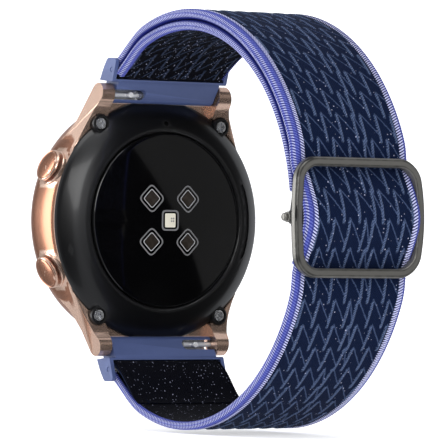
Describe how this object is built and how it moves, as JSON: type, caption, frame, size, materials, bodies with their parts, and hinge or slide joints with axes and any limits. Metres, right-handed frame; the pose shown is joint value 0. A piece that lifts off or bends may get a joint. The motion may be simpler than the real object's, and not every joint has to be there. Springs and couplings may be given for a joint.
{
  "type": "fitness watch with elastic loop band",
  "caption": "Round fitness watch head with push buttons and a rear sensor window, on an adjustable elastic loop band with a sliding buckle and quick-release connectors.",
  "frame": {"origin": "centre of the band's loop, where the wrist goes", "axes": "+X along the forearm on the push-button side, +Y from the watch head towards the buckle, +Z towards twelve o'clock; the display faces -Y"},
  "size_m": [0.0398, 0.0657, 0.0654],
  "materials": {
    "rose_metal": "fine satin, rose gold anodised",
    "display_glass": "gloss black",
    "rear_glass": "gloss black with sensor windows",
    "cover_black": "gloss black",
    "inner_plastic": "matt black",
    "bright_steel": "bright",
    "gunmetal": "satin gunmetal",
    "slate_plastic": "satin slate blue",
    "band_weave": "navy elastic weave with zigzag rows and pale blue edges",
    "seal_rubber": "matt",
    "circuit_board": "green solder mask",
    "copper_coil": "wound enamelled wire",
    "ferrite": "dark sheet",
    "battery_foil": "foil pouch",
    "sensor_chip": "dark brown lens",
    "sensor_light": "cream white"
  },
  "bodies": {
    "head": {"case_body": "rose_metal", "rear_cover": "cover_black", "display_glass": "display_glass", "display_panel": "inner_plastic", "display_adhesive": "seal_rubber", "inner_tray": "inner_plastic", "battery": "battery_foil", "vibration_motor": "bright_steel", "main_board": "circuit_board", "shield_can": "bright_steel", "ferrite_sheet": "ferrite", "charging_coil": "copper_coil", "sensor_board": "circuit_board", "light_baffle": "inner_plastic", "sensor_light": "sensor_light", "rear_gasket": "seal_rubber", "rear_glass": "rear_glass", "band_outer": "band_weave", "band_inner": "band_weave", "band_sewn_end": "band_weave", "rear_screw_1": "bright_steel", "photodiode_1": "sensor_chip", "rear_screw_2": "bright_steel", "photodiode_2": "sensor_chip", "rear_screw_3": "bright_steel", "photodiode_3": "sensor_chip", "rear_screw_4": "bright_steel", "photodiode_4": "sensor_chip", "upper_button_seal": "seal_rubber", "upper_button_switch": "bright_steel", "lower_button_seal": "seal_rubber", "lower_button_switch": "bright_steel"},
    "upper_button": {"upper_button": "rose_metal", "upper_button_clip": "bright_steel"},
    "lower_button": {"lower_button": "rose_metal", "lower_button_clip": "bright_steel"},
    "buckle": {"buckle_frame": "gunmetal", "buckle_rod": "gunmetal", "band_end_loop": "band_weave"},
    "top_connector": {"top_connector": "slate_plastic", "top_spring_bar_tube": "bright_steel", "top_strap_rod": "bright_steel", "top_strap_fold": "band_weave", "top_bar_spring": "bright_steel"},
    "top_release": {"top_sliding_tip": "bright_steel", "top_release_knob": "bright_steel"},
    "bottom_connector": {"bottom_connector": "slate_plastic", "bottom_spring_bar_tube": "bright_steel", "bottom_strap_rod": "bright_steel", "bottom_strap_fold": "band_weave", "bottom_bar_spring": "bright_steel"},
    "bottom_release": {"bottom_sliding_tip": "bright_steel", "bottom_release_knob": "bright_steel"}
  },
  "joints": [
    {"name": "upper_button_press", "type": "slide", "parent": "head", "child": "upper_button", "axis": [-0.91, 0, -0.4147], "range_m": [0, 0.0004], "stiffness_N_per_m": 1500, "springref_m": -0.0003},
    {"name": "lower_button_press", "type": "slide", "parent": "head", "child": "lower_button", "axis": [-0.91, 0, 0.4147], "range_m": [0, 0.0004], "stiffness_N_per_m": 1500, "springref_m": -0.0003},
    {"name": "top_connector_pivot", "type": "hinge", "parent": "head", "child": "top_connector", "pos_m": [0, -0.0219, 0.02], "axis": [1, 0, 0], "range_deg": [-8, 8], "stiffness_Nm_per_rad": 0.02},
    {"name": "top_quick_release", "type": "slide", "parent": "top_connector", "child": "top_release", "axis": [-1, 0, 0], "range_m": [0, 0.0013], "stiffness_N_per_m": 500, "springref_m": -0.001, "deforming": ["top_bar_spring"]},
    {"name": "bottom_connector_pivot", "type": "hinge", "parent": "head", "child": "bottom_connector", "pos_m": [0, -0.0219, -0.02], "axis": [1, 0, 0], "range_deg": [-8, 8], "stiffness_Nm_per_rad": 0.02},
    {"name": "bottom_quick_release", "type": "slide", "parent": "bottom_connector", "child": "bottom_release", "axis": [1, 0, 0], "range_m": [0, 0.0013], "stiffness_N_per_m": 500, "springref_m": -0.001, "deforming": ["bottom_bar_spring"]},
    {"name": "buckle_slide", "type": "hinge", "parent": "head", "child": "buckle", "pos_m": [0, 0, 0], "axis": [1, 0, 0], "range_deg": [-8, 8], "deforming": ["band_outer", "band_inner", "band_sewn_end"]}
  ]
}
